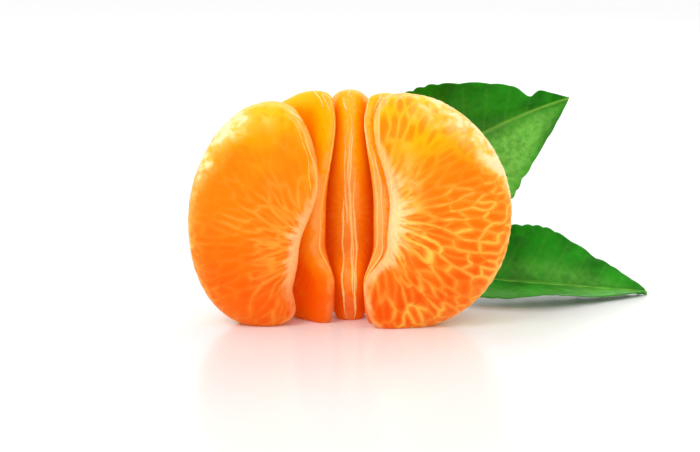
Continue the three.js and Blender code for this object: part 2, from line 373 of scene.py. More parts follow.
class MandarinLeafSettings(bpy.types.PropertyGroup):
    """Sizes and colours of the leaves"""

    upper_length: FloatProperty(name="Upper leaf length", description="With its stalk", default=65 * MM,
                                unit="LENGTH")
    upper_width: FloatProperty(name="Upper leaf width", description="Widest", default=37 * MM, unit="LENGTH")
    lower_length: FloatProperty(name="Lower leaf length", description="With its stalk", default=62 * MM,
                                unit="LENGTH")
    lower_width: FloatProperty(name="Lower leaf width", description="Widest", default=30 * MM, unit="LENGTH")
    petiole_length: FloatProperty(name="Stalk length", description="Petiole", default=6 * MM, unit="LENGTH")
    petiole: FloatProperty(name="Stalk thickness", description="Petiole", default=1.7 * MM, unit="LENGTH")
    thickness: FloatProperty(name="Blade thickness", description="Away from the veins", default=0.42 * MM,
                             unit="LENGTH")
    clearance: FloatProperty(name="Clearance", description="Fruit to the twig behind it", default=2.5 * MM,
                             unit="LENGTH")
    vein_spacing: FloatProperty(name="Side vein spacing", description="Along the midrib", default=5.2 * MM,
                                unit="LENGTH")
    upper_side: FloatVectorProperty(name="Upper side", description="Blade colour", subtype="COLOR",
                                    default=(0.012, 0.29, 0.002), size=3)
    under_side: FloatVectorProperty(name="Under side", description="Blade colour beneath", subtype="COLOR",
                                    default=(0.07, 0.28, 0.03), size=3)


class MandarinTwigSettings(bpy.types.PropertyGroup):
    """Sizes of the twig"""

    radius: FloatProperty(name="Twig radius", description="Half its thickness", default=1.5 * MM,
                          unit="LENGTH")
    length: FloatProperty(name="Twig length", description="Cut end to tip", default=24 * MM, unit="LENGTH")
    node_height: FloatProperty(name="Tip height", description="Twig's tip above the surface",
                               default=6 * MM, unit="LENGTH")
    join: FloatProperty(name="Join gap", description="Twig to a leaf's stalk", default=0.4 * MM,
                        unit="LENGTH")


class MandarinStageSettings(bpy.types.PropertyGroup):
    """Camera and light"""

    distance: FloatProperty(name="Camera distance", description="From the core", default=0.4, unit="LENGTH")
    elevation: FloatProperty(name="Camera elevation", description="Above the horizon",
                             default=math.radians(10), subtype="ANGLE")
    aim_height: FloatProperty(name="Aim height", description="Where the camera looks", default=21.4 * MM,
                              unit="LENGTH")
    lens: FloatProperty(name="Lens", description="Focal length in millimetres", default=102.9)


# ---------------------------------------------------------------- the segments' shape

FINE_STEPS = 6000  # round an outline, before it is divided evenly
STEPS_IN = 240  # from the outline to the heart, before they are divided evenly
CROWDING = 2.2  # how much closer together those steps are at the outline
BEND = 0.6  # how late the rows turn up or down towards the heart


class Wedge:
    """The shape that all segments share, in millimetres, from the settings."""

    roundness = 2.4
    swell_depth = 11.0
    upper_fullness, lower_fullness = 1.9, 2.15
    heart_share = 0.52
    notch_fades = (0.62, 0.3)

    def __init__(self, flesh):
        for key in ("height", "reach", "gap", "crown", "notch", "outer_rounding", "inner_rounding", "foot"):
            setattr(self, key, getattr(flesh, key) / MM)
        self.half_angle = flesh.wedge / 2
        self.spacing = flesh.wedge - flesh.opening
        corner = (self.reach - self.outer_rounding / 2) / math.cos(self.half_angle)
        swing = corner * math.sin(flesh.opening / 2)
        self.apex_radius = (self.gap / 2 + swing) / math.sin(self.spacing / 2)
        low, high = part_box("segment_middle")
        back = high[1] / MM
        self.core = np.array([(low[0] + high[0]) / 2 / MM, back - self.apex_radius - self.reach, 0.0])
        self.heart = self.reach * self.heart_share

    @property
    def back(self):
        """From the core to the middle segment's outer side."""
        return self.apex_radius + self.reach

    def outline(self, turn, shape):
        """Points [u, w] of the outline, turn being the angle round it."""
        q = np.sin(turn)
        w = q * self.height * shape["size"] / 2
        fullness = np.where(q > 0, self.upper_fullness, self.lower_fullness)
        out = (1 - np.abs(q) ** fullness) ** (1 / fullness)
        tallest = self.crown * shape["crown"]
        outer = tallest + (self.reach - tallest) * out
        top, bottom = shape["lobes"]
        lobe = bottom + (top - bottom) * smoothstep(q, -0.5, 0.5)
        inwards = (1 - np.abs(q) ** shape["corner"]) ** (1 / shape["corner"])
        full, gone = shape["hollow"]
        starts, ends = (full - share for share in self.notch_fades)
        notch = self.notch * smoothstep(q, starts, ends) * (1 - smoothstep(q, full, gone))
        inner = tallest - (tallest - lobe) * inwards + notch * inwards
        return np.stack([np.where(np.cos(turn) >= 0, outer, inner), w], -1)

    def even_outline(self, count, shape):
        """The outline as count points at equal steps along it."""
        fine = self.outline(np.linspace(0, 2 * math.pi, FINE_STEPS + 1), shape)
        run = np.concatenate([[0], np.cumsum(np.linalg.norm(np.diff(fine, axis=0), axis=1))])
        at = np.linspace(0, run[-1], count, endpoint=False)
        return np.stack([np.interp(at, run, fine[:, 0]), np.interp(at, run, fine[:, 1])], -1)

    def thickness(self, u, deep, shape, side):
        """Half the thickness at u from the apex and deep in from the outline, on one side."""
        flat = u * math.tan(self.half_angle)
        half = (flat + np.sqrt(flat * flat + 4 * (shape["edge"] * self.reach) ** 2)) / 2
        outer = smoothstep(u, 0, self.reach * 0.6)
        rounding = self.inner_rounding + (self.outer_rounding - self.inner_rounding) * outer
        depth = np.minimum(1, deep / rounding)
        rounded = (1 - (1 - depth) ** self.roundness) ** (1 / self.roundness)
        swell = 1 - (1 - np.minimum(1, deep / self.swell_depth)) ** 2
        bulge = shape["bulges"][0 if side > 0 else 1]
        return half * rounded + bulge * swell


def distance_to(outline, points, at_once=4000):
    """The distance of points (n, 2) from a closed outline (m, 2)."""
    ahead = np.roll(outline, -1, axis=0) - outline
    squared = (ahead**2).sum(1)
    least = np.full(len(points), np.inf)
    for start in range(0, len(points), at_once):
        part = points[start : start + at_once]
        offset = part[:, None, :] - outline[None]
        along = np.clip((offset * ahead).sum(-1) / squared, 0, 1)
        away = np.linalg.norm(offset - along[..., None] * ahead, axis=-1)
        least[start : start + at_once] = away.min(1)
    return least


class SegmentSkin:
    """One segment's surface as a grid: rows from the middle of one face over the outline to the other."""

    def __init__(self, wedge, shape, around, rows):
        self.wedge, self.shape, self.around, self.rows = wedge, shape, around, rows
        self.outline = wedge.even_outline(around, shape)
        self.depths = {}
        # The rows run in squarely at first and bend towards the heart, so that none grazes the notch.
        inset = np.linspace(0, 1, STEPS_IN)[:, None] ** CROWDING
        across = self.outline[None, :, 0] * (1 - inset) + wedge.heart * inset
        self.flat = np.stack([across, self.outline[None, :, 1] * (1 - inset) * (1 + BEND * inset)], -1)
        self.inset = distance_to(self.outline, self.flat.reshape(-1, 2)).reshape(STEPS_IN, -1)
        self.inset[0] = 0
        sheets = {side: self._sheet(side) for side in (1, -1)}
        # Row 0 is the middle of the +t face, row `rows` the outline, row 2 * rows the middle of the -t face.
        self.grid = np.concatenate([sheets[1][::-1], sheets[-1][1:]])
        self.deep = np.concatenate([self.depths[1][::-1], self.depths[-1][1:]])

    def _sheet(self, side):
        """Rows from the outline to the middle of one face, evenly spaced along the surface."""
        flat, deep = self.flat, self.inset
        t = self.wedge.thickness(flat[..., 0], deep, self.shape, side)
        curve = np.stack([flat[..., 0], side * t, flat[..., 1]], -1)
        strides = np.linalg.norm(np.diff(curve, axis=0), axis=-1)
        run = np.concatenate([np.zeros((1, self.around)), strides.cumsum(0)])
        made = np.zeros((self.rows + 1, self.around, 3))
        depth = np.zeros((self.rows + 1, self.around))
        for k in range(self.around):
            at = np.linspace(0, run[-1, k], self.rows + 1)
            for axis in range(3):
                made[:, k, axis] = np.interp(at, run[:, k], curve[:, k, axis])
            depth[:, k] = np.interp(at, run[:, k], deep[:, k])
        self.depths[side] = depth
        return made

    def mesh(self):
        """Points (n, 3), faces and, for each point, its depth in from the outline."""
        points = np.concatenate([self.grid[1:-1].reshape(-1, 3), self.grid[0, :1], self.grid[-1, :1]])
        deep = np.concatenate([self.deep[1:-1].ravel(), self.deep[0, :1], self.deep[-1, :1]])
        return points, tube_faces(len(self.grid) - 2, self.around), deep

    def at(self, row, column):
        """Points of the grid between its rows and columns."""
        row = np.clip(row, 0, 2 * self.rows - 1e-6)
        r0 = np.floor(row).astype(int)
        c0 = np.floor(column).astype(int)
        fr, fc = (row - r0)[:, None], (column - c0)[:, None]
        c0, c1 = c0 % self.around, (c0 + 1) % self.around
        low = self.grid[r0, c0] * (1 - fc) + self.grid[r0, c1] * fc
        high = self.grid[r0 + 1, c0] * (1 - fc) + self.grid[r0 + 1, c1] * fc
        return low * (1 - fr) + high * fr


def stand(points, wedge, shape, lowest=None):
    """Leans a segment, sets it on its foot and carries it to its place.

    Also gives the height of its lowest point before that, so that other things can stand with it.
    """
    lean = math.radians(shape["tip"])
    du = points[:, 0] - wedge.heart
    u = wedge.heart + du * math.cos(lean) + points[:, 2] * math.sin(lean)
    z = points[:, 2] * math.cos(lean) - du * math.sin(lean)
    if lowest is None:
        lowest = z.min()
    z = np.maximum(0, z - lowest - wedge.foot)
    azimuth = math.pi / 2 + shape["place"] * wedge.spacing + math.radians(shape["swing"])
    out = np.array([math.cos(azimuth), math.sin(azimuth), 0])
    across = np.array([-math.sin(azimuth), math.cos(azimuth), 0])
    up = np.array([0, 0, 1.0])
    apex = wedge.core + wedge.apex_radius * out
    return apex + u[:, None] * out + points[:, 1:2] * across + z[:, None] * up, lowest


# ---------------------------------------------------------------- juice sacs

HUB_SPREAD = 0.28  # how far the veins' source spreads up and down, as a share of a point's own height from it
SAC_PICKS = 9000  # places that are tried for a sac's middle
SAC_SPACING = 1.12  # least distance between the middles, in sac sizes
BLOCK = 5.0  # side of the blocks in which sacs are searched for, in millimetres
SAC_RANGE = 9  # beyond a block's points, how far off a sac can still matter, in millimetres
WARP = 1.3  # how much the sacs' borders wander, in millimetres


def hub_of(points, hub_u, hub_w):
    """Where the veins of each point come from: a short line behind the notch of the inner edge."""
    height = hub_w + (points[:, 2] - hub_w) * HUB_SPREAD
    return np.stack([np.full(len(points), hub_u), np.zeros(len(points)), height], -1)


def sac_axes(points, hub):
    """Direction, half length and half width of the juice sac at each point."""
    away = points - hub_of(points, *hub)
    r = np.linalg.norm(away, axis=1)
    direction = away / np.maximum(r, 1e-6)[:, None]
    uneven = noise(points, 6.0, 31) - 0.5
    width = np.clip(0.5 + 0.055 * r, 0.55, 1.3) * (1 + 0.5 * uneven)
    length = 3.0 + 2.6 * np.exp(-(((r - 8) / 8) ** 2)) * (1 + 0.6 * uneven)
    return direction, length, width


def sac_metric(offset, direction, length, width):
    """Offsets measured in sac sizes: long along the sac and short across it."""
    along = (offset * direction).sum(-1)
    across = np.sqrt(np.maximum((offset**2).sum(-1) - along**2, 0))
    return np.sqrt((along / length) ** 2 + (across / width) ** 2)


def sow_sacs(points, hub, seed):
    """Picks points of the surface as the sacs' middles, no two nearer than their size allows."""
    chance = np.random.default_rng(seed)
    picks = points[chance.choice(len(points), SAC_PICKS, replace=False)]
    direction, length, width = sac_axes(picks, hub)
    kept = np.zeros((len(picks), 3))
    count = 0
    for k, pick in enumerate(picks):
        gaps = sac_metric(kept[:count] - pick, direction[k], length[k], width[k])
        if count == 0 or gaps.min() >= SAC_SPACING:
            kept[count] = pick
            count += 1
    return kept[:count]


def sac_pattern(points, hub, seed):
    """The sacs at each point.

    Gives the distance to the nearest sac border in millimetres, how far up the sac's dome the point is (0 to
    1), the sac's own random number, that of the border, and how squarely the border crosses the sacs.
    """
    middles = sow_sacs(points, hub, seed)
    direction, length, width = (a.astype(np.float32) for a in sac_axes(middles, hub))
    warp = np.stack([layered_noise(points, 3.6, seed + k, 2) for k in range(3)], -1) - 0.5
    probe = (points + warp * WARP).astype(np.float32)
    seeds = middles.astype(np.float32)
    order = np.zeros((len(points), 2), dtype=int)
    best = np.zeros((len(points), 2), dtype=np.float32)
    # Block by block, so that only the sacs about each block are measured.
    _, inverse = np.unique(np.floor(probe / BLOCK).astype(int), axis=0, return_inverse=True)
    inverse = inverse.ravel()
    sorted_points = np.argsort(inverse, kind="stable")
    bounds = np.searchsorted(inverse[sorted_points], np.arange(inverse.max() + 2))
    for start, stop in zip(bounds[:-1], bounds[1:]):
        members = sorted_points[start:stop]
        middle = probe[members].mean(0)
        squared = ((seeds - middle) ** 2).sum(1)
        reach = np.linalg.norm(probe[members] - middle, axis=1).max() + SAC_RANGE
        about = np.argsort(squared, kind="stable")[: max(12, int((squared < reach**2).sum()))]
        offset = probe[members, None, :] - seeds[None, about]
        d = sac_metric(offset, direction[None, about], length[None, about], width[None, about])
        nearest = np.argpartition(d, 1, axis=1)[:, :2]
        value = np.take_along_axis(d, nearest, axis=1)
        flip = value[:, 0] > value[:, 1]
        nearest[flip], value[flip] = nearest[flip][:, ::-1], value[flip][:, ::-1]
        order[members], best[members] = about[nearest], value
    slope = []
    for rank in (0, 1):
        k = order[:, rank]
        offset = probe - seeds[k]
        along = (offset * direction[k]).sum(-1, keepdims=True)
        across = offset - along * direction[k]
        grow = along * direction[k] / length[k][:, None] ** 2 + across / width[k][:, None] ** 2
        slope.append(grow / np.maximum(best[:, rank : rank + 1], 1e-5))
    across = slope[1] - slope[0]
    steep = np.linalg.norm(across, axis=1)
    # 1 where a border runs across the sacs' long way, which is where membranes hardly show.
    athwart = np.abs((across * direction[order[:, 0]]).sum(1)) / np.maximum(steep, 1e-6)
    border = (best[:, 1] - best[:, 0]) / np.maximum(steep, 0.15)
    dome = smoothstep((best[:, 1] - best[:, 0]) / (best[:, 1] + best[:, 0]), 0.0, 0.55)
    chance = np.random.default_rng(seed + 5).random(len(middles))
    own = chance[order[:, 0]]
    shared = (chance[order].sum(1) * 7.31) % 1
    return border, dome, own, shared, athwart


def pith_marks(points, deep, wedge, shape, hub, fine, seed):
    """Pith: a band along the inner edge, and the rays that it sends out at the hub."""
    u, t, w = points.T
    tallest = wedge.crown * shape["crown"]
    inner = smoothstep(u, tallest + 4, tallest - 2)
    turn = np.arctan2(w - hub[1], u - hub[0] + 4)
    flat = np.stack([turn * 9, t * 0.4, np.zeros_like(t)], -1)
    rays = (noise(flat, 1.0, seed + 80) + noise(flat * 2.7, 1.0, seed + 81)) / 2
    near_hub = np.exp(-(((w - hub[1]) / 9.5) ** 2))
    reach = shape["pith"] * (0.5 + near_hub * (1.6 + 11.0 * np.clip(rays - 0.42, 0, 1)))
    solid = 1 - smoothstep(deep + 1.1 * (fine - 0.5), reach * 0.25, reach * 1.15 + 0.3)
    pith = inner * solid * (0.35 + 0.65 * near_hub) * min(1, shape["pith"] + 0.25)
    ray = inner * smoothstep(rays, 0.5, 0.66) * (1 - smoothstep(deep, reach + 0.5, reach + 5.5)) * near_hub
    return pith, ray


def film_and_highlight_marks(points, deep, wedge, shape, patch, fine, seed):
    """Film and painted highlight: the pale skin of the outer side and rim, the crust of pith left on it, and
    painted highlight.

    It is thickest high up on the rim of a face that looks out of the opening, where its pale specks are partly
    painted highlight; the thin pale line right along the rim is a painted highlight.
    """
    u, t, w = points.T
    tallest = wedge.crown * shape["crown"]
    outer = smoothstep(u, tallest - 5, tallest + 5)
    open_side = smoothstep(t * shape["free"], -1, 5) if shape["free"] else np.zeros_like(t)
    high = (0.42 + 0.58 * smoothstep(w, 2, 9)) * (1 - 0.5 * smoothstep(w, 19, 23)) * open_side
    high = high * smoothstep(w, -21, -12)
    shreds = layered_noise(points, 2.8, seed + 61)
    crumbs = 0.38 * patch + 0.24 * fine + 0.38 * shreds
    uneven = deep + 3.2 * (fine - 0.5) + 2.4 * (patch - 0.5)
    rim = 1 - smoothstep(uneven, 0.4 + 1.8 * high, 2.0 + 5.0 * high)
    scraps = smoothstep(crumbs, 0.49 - 0.06 * high, 0.6 - 0.06 * high)
    # Painted highlight: a thin pale line right along the rim.
    painted_rim_highlight = 1 - smoothstep(deep, 0.15, 1.1)
    mist = 1 - smoothstep(deep + 3 * (patch - 0.5), 0.5, 7)
    film = outer * rim * (0.12 + 0.2 * high + (0.3 + 0.6 * high) * scraps) * (0.4 + 0.6 * open_side)
    film = film + 0.6 * painted_rim_highlight * (0.3 + 0.7 * outer) * (0.3 + 0.7 * open_side)
    film = film + 0.3 * outer * open_side * mist * (0.6 + 0.4 * high)
    return np.clip(film * shape["haze"], 0, 1), outer * rim * scraps * high * shape["haze"]


def flesh_marks(points, deep, wedge, shape, seed):
    """The point attributes of a segment's skin, each from 0 to 1, and the relief in sac heights."""
    u, t, w = points.T
    hub = (sum(shape["lobes"]) / 2 + wedge.notch - 1.8, shape["hollow"][0] * wedge.height / 2 * 0.6 - 0.5)
    border, dome, own, shared, athwart = sac_pattern(points, hub, seed)
    r = np.linalg.norm(points - hub_of(points, *hub), axis=1)
    patch = layered_noise(points, 8.0, seed + 40)
    fine = layered_noise(points, 1.6, seed + 60)

    # Veins are strongest round the hub and low down, and some borders hardly show.
    lower = 1 - 0.62 * smoothstep(w, 1, 12)
    strength = (0.25 + 0.75 * smoothstep(patch, 0.36, 0.62)) * lower + 0.55 * smoothstep(r, 12, 4)
    strength = np.clip(strength, 0, 1) * (0.3 + 0.7 * smoothstep(shared, 0.1, 0.7)) * shape["veins"]
    ridge = smoothstep(u, wedge.crown * 1.6, wedge.crown * 0.6) * (shape["free"] == 0)
    strength = strength * (1 - 0.9 * ridge) * (1 - 0.6 * smoothstep(athwart, 0.45, 0.9))
    thin = (0.3 + 0.3 * shared) * (1 - 0.25 * smoothstep(r, 9, 18))
    line = 1 - smoothstep(border, 0.0, thin)
    halo = 1 - smoothstep(border, 0.1, 1.1)
    vein = strength * (0.62 * line + 0.32 * halo) * (1 - 0.2 * smoothstep(r, 9, 18))
    pith, ray = pith_marks(points, deep, wedge, shape, hub, fine, seed)
    vein = np.maximum(vein, 0.9 * ray * shape["pith"])
    film, crust = film_and_highlight_marks(points, deep, wedge, shape, patch, fine, seed)

    # The relief is lower over the rim, so that the outline stays smooth.
    body = dome * (0.5 + 0.5 * shared) * (0.3 + 0.7 * shape["veins"]) * (1 - ridge)
    relief = body * (0.45 + 0.55 * smoothstep(deep, 0, 4)) - 0.25 * vein - 0.1 + 0.9 * crust * fine
    # Painted shade: faces that look at a neighbour are painted a deeper red, most of all low down, where shade
    # falls between the segments.
    closed_side = 1 - smoothstep(t * shape["free"], -2, 0) if shape["free"] else np.ones_like(t)
    marks = {
        "vein": vein,
        "pith": pith,
        "film": film,
        "cleft": closed_side * smoothstep(deep, 1.6, 5) * (1 - 0.5 * smoothstep(w, 6, 20)),
        "ridge": ridge * (1 - smoothstep(deep, 1.8, 3.6)),
        "sac": (0.35 + 0.65 * shape["veins"]) * (0.5 * own + 0.5 * dome) * (1 - ridge),
    }
    return marks, relief


# ---------------------------------------------------------------- finishes


def flesh_finish(flesh):
    """Moist membrane over juice: deep orange sacs, pale veins, creamy pith, and painted light: yellower high
    up, a deeper red painted shade low down and between segments, a faint painted glow, and painted highlight in
    the film.
    """
    made = Finish("mandarin_flesh")
    vein, pith, film = (made.attribute(name) for name in ("vein", "pith", "film"))
    sac, ridge = made.attribute("sac"), made.attribute("ridge")
    height = Wire(made, made.node("ShaderNodeSeparateXYZ", None, {0: made.place()}).outputs[2])
    cloudy = made.noise(110, 2.0)
    level = height + (cloudy - 0.5) * 0.02
    # Painted light: the flesh, its sacs and the ridge run from a deeper red painted shade low down to a
    # yellower painted light high up.
    juice = made.mix(made.span(level, 0.002, 0.028), tuple(flesh.shaded_lower_flesh), tuple(flesh.middle))
    juice = made.mix(made.span(level, 0.028, 0.047), juice, tuple(flesh.bright))
    deeper = made.mix(made.span(level, 0.0, 0.045), (0.8, 0.065, 0.0), (0.86, 0.24, 0.0))
    juice = made.mix(made.span(sac, 0.3, 0.9, 0.0, 0.85), juice, deeper)
    along_ridge = made.mix(made.span(level, 0.01, 0.04), (0.96, 0.28, 0.0), (1.0, 0.44, 0.0))
    juice = made.mix(ridge * made.span(level, 0.002, 0.014), juice, along_ridge)
    # Painted shade: a deeper red where a face looks at its neighbour.
    juice = made.mix(made.attribute("cleft") * 0.85, juice, (0.86, 0.075, 0.0))
    freckles = made.span(made.noise(1700, 2.0), 0.56, 0.68)
    juice = made.mix(freckles * (0.12 + ridge * 0.2), juice, (0.95, 0.12, 0.0))
    skin = made.mix(vein, juice, tuple(flesh.vein))
    torn = made.span(made.noise(330, 4.0, 0.6), 0.36, 0.58)
    # The film and its painted highlight: pale yellow, and cream where it is thickest.
    skin = made.mix(film * (0.6 + torn * 0.4), skin, (1.0, 0.68, 0.08))
    skin = made.mix(film * film * torn * 0.75, skin, (1.0, 0.86, 0.58))
    flecks = made.span(made.noise(2600, 2.0), 0.42, 0.7)
    skin = made.mix(pith * (1 - flecks * 0.3), skin, tuple(flesh.pith))
    grain = made.noise(1500, 3.0)
    pores = made.noise(5200, 2.0)
    bump = made.bump(grain, 0.00012, 0.5)
    bump = made.bump(pores, 0.00004, 0.5, bump)
    rough = 0.36 + pith * 0.3 + film * 0.15 + (grain - 0.5) * 0.2
    return made.surface_values(
        Base_Color=skin,
        Roughness=rough,
        Normal=bump,
        Subsurface_Weight=0.25,
        Subsurface_Radius=(1.0, 0.28, 0.04),
        Subsurface_Scale=0.0022,
        IOR=1.38,
        Specular_IOR_Level=0.07,
        # Painted glow: the flesh gives off a faint orange light of its own.
        Emission_Color=(1.0, 0.19, 0.0),
        Emission_Strength=0.1,
        Coat_Weight=0.05,
        Coat_Roughness=0.14,
    )


def pith_finish():
    """Soft, matte, fibrous pith, yellower where its threads are thin, with a faint painted orange glow."""
    made = Finish("mandarin_pith")
    fibres = made.noise(900, 3.0, stretch=(1, 1, 0.25))
    tone = made.attribute("tone")
    colour = made.mix(tone * (0.7 + fibres * 0.6), (1.0, 0.52, 0.03), (1.0, 0.78, 0.36))
    return made.surface_values(
        Base_Color=colour,
        Roughness=0.55,
        Normal=made.bump(fibres, 0.0001, 0.5),
        Specular_IOR_Level=0.12,
        # Painted glow: the pith gives off a faint orange light of its own.
        Emission_Color=(1.0, 0.35, 0.05),
        Emission_Strength=0.1,
        Subsurface_Weight=0.3,
        Subsurface_Radius=(1.0, 0.6, 0.3),
        Subsurface_Scale=0.0015,
    )


def leaf_finish(leaf):
    """Waxy green blade with a fine net of veins and a painted highlight, the sheen; the under side is paler and
    duller.
    """
    made = Finish("mandarin_leaf")
    vein, under, net = (made.attribute(name) for name in ("leaf_vein", "under", "leaf_net"))
    sheen = made.attribute("sheen")
    mottle = made.noise(140, 4.0)
    fine = made.noise(900, 4.0)
    pale = (0.11, 0.42, 0.05)
    dark = tuple(c * 0.45 for c in leaf.upper_side)
    blade = made.mix(made.span(mottle, 0.3, 0.7), dark, tuple(leaf.upper_side))
    # Painted highlight: the sheen paints pale glossy patches into the upper side's colour.
    blade = made.mix(sheen * (0.45 + made.span(fine, 0.3, 0.7) * 0.4), blade, (0.24, 0.66, 0.1))
    blade = made.mix(net * 0.12, blade, pale)
    blade = made.mix(vein * 0.8, blade, (0.26, 0.62, 0.08))
    blade = made.mix(under, blade, tuple(leaf.under_side))
    cells = {"Vector": made.place(), "Scale": 1300.0, "Randomness": 1.0}
    glands = made.node("ShaderNodeTexVoronoi", {"feature": "F1"}, cells)
    dots = made.span(Wire(made, glands.outputs["Distance"]), 0.1, 0.3, 1.0, 0.0)
    blade = made.mix(dots * 0.15, blade, pale)
    bump = made.bump(fine * 0.7 + dots * 0.3, 0.00014, 0.6)
    rough = 0.34 + (mottle - 0.5) * 0.16 + under * 0.25
    return made.surface_values(
        Base_Color=blade,
        Roughness=rough,
        Normal=bump,
        Specular_IOR_Level=0.06,
        Subsurface_Weight=0.05,
        Subsurface_Radius=(0.3, 1.0, 0.2),
        Subsurface_Scale=0.0015,
        Coat_Weight=0.03,
        Coat_Roughness=0.2,
    )


def bark_finish():
    """Young green bark with pale lenticels, browner towards the cut."""
    made = Finish("twig_bark")
    streaks = made.noise(700, 4.0, stretch=(0.3, 1, 1))
    spots = made.span(made.noise(1400, 2.0), 0.62, 0.7)
    colour = made.mix(streaks, (0.06, 0.13, 0.02), (0.2, 0.27, 0.07))
    colour = made.mix(spots * 0.7, colour, (0.45, 0.42, 0.24))
    colour = made.mix(made.attribute("cut"), colour, (0.62, 0.6, 0.36))
    return made.surface_values(Base_Color=colour, Roughness=0.6, Normal=made.bump(streaks, 0.00025, 0.6))


def floor_finish():
    """Plain pale, slightly glossy floor."""
    made = Finish("pale_floor")
    return made.surface_values(Base_Color=(0.93, 0.93, 0.93), Roughness=0.22, Specular_IOR_Level=0.6)


# ---------------------------------------------------------------- pieces


def make_segment(name, flesh, material, seed):
    """One segment's skin, with the relief of its sacs, veins and pith."""
    wedge, shape = Wedge(flesh), SEGMENTS[name]
    points, faces, deep = SegmentSkin(wedge, shape, flesh.around, flesh.rows).mesh()
    marks, relief = flesh_marks(points, deep, wedge, shape, seed)
    normals = normals_of(points, faces)
    # Towards a neighbour the relief stays shallow, so that the two stay apart.
    toward = np.sign(points[:, 1]) * (1 if shape["free"] == 0 else shape["free"])
    facing = smoothstep(deep, 1.5, 5)
    hidden = facing if shape["free"] == 0 else facing * (toward < 0)
    height = flesh.dimple / MM * relief * (1 - 0.7 * hidden)
    wrinkle = 0.16 * (layered_noise(points, 3.2, seed + 90) - 0.5) * (1 - hidden) * (1 - marks["ridge"])
    lowest = stand(points, wedge, shape)[1]
    placed, _ = stand(points + normals * (height + wrinkle)[:, None], wedge, shape, lowest)
    piece = new_mesh_object(name.replace("segment_", "flesh_"), placed, faces, marks, material)
    hand_over(piece, name)


# ---------------------------------------------------------------- pith threads

FLOOR_CLEARANCE = 1.9  # least height of a thread's middle, in its radii
POINTS_ALONG, FEWEST_POINTS = 90, 8  # of a thread that runs from end to end, and of any
THREAD_GRID = (240, 104)  # points round the outline and rows to the middle that the threads are laid on

# Threads that each segment wears beside its net: the side they run along, where they start and stop on it
# (0 to 1), rows aside from the outline, sway in rows, radius in millimetres and tone.
STRANDS = {
    "segment_left_end": (
        ("inner", 0.04, 0.5, -5, 2.0, 0.18, 0.25),
        ("inner", 0.02, 0.4, -14, 2.4, 0.13, 0.2),
        ("outer", 0.6, 0.97, -14, 2.0, 0.16, 0.35),
    ),
    "segment_left_inner": (("inner", 0.05, 0.8, 3, 1.4, 0.22, 0.3),),
    "segment_middle": (
        ("inner", 0.2, 0.6, -7, 1.8, 0.22, 0.6),
        ("inner", 0.16, 0.88, 2, 1.8, 0.42, 0.6),
        ("inner", 0.12, 0.5, -2, 1.8, 0.24, 0.6),
        ("inner", 0.34, 0.95, 9, 1.8, 0.3, 0.6),
        ("inner", 0.42, 0.97, -12, 1.8, 0.26, 0.6),
        ("inner", 0.6, 0.98, 5, 1.8, 0.24, 0.6),
    ),
    "segment_right_inner": (
        ("inner", 0.04, 0.8, -4, 2.6, 0.26, 0.6),
        ("inner", 0.15, 0.9, 5, 2.6, 0.24, 0.6),
    ),
    "segment_right_end": (
        ("inner", 0.02, 0.4, 4, 2.0, 0.18, 0.5),
        ("outer", 0.55, 0.95, 14, 2.5, 0.2, 0.7),
        ("outer", 0.5, 0.9, 24, 3.0, 0.16, 0.6),
    ),
}


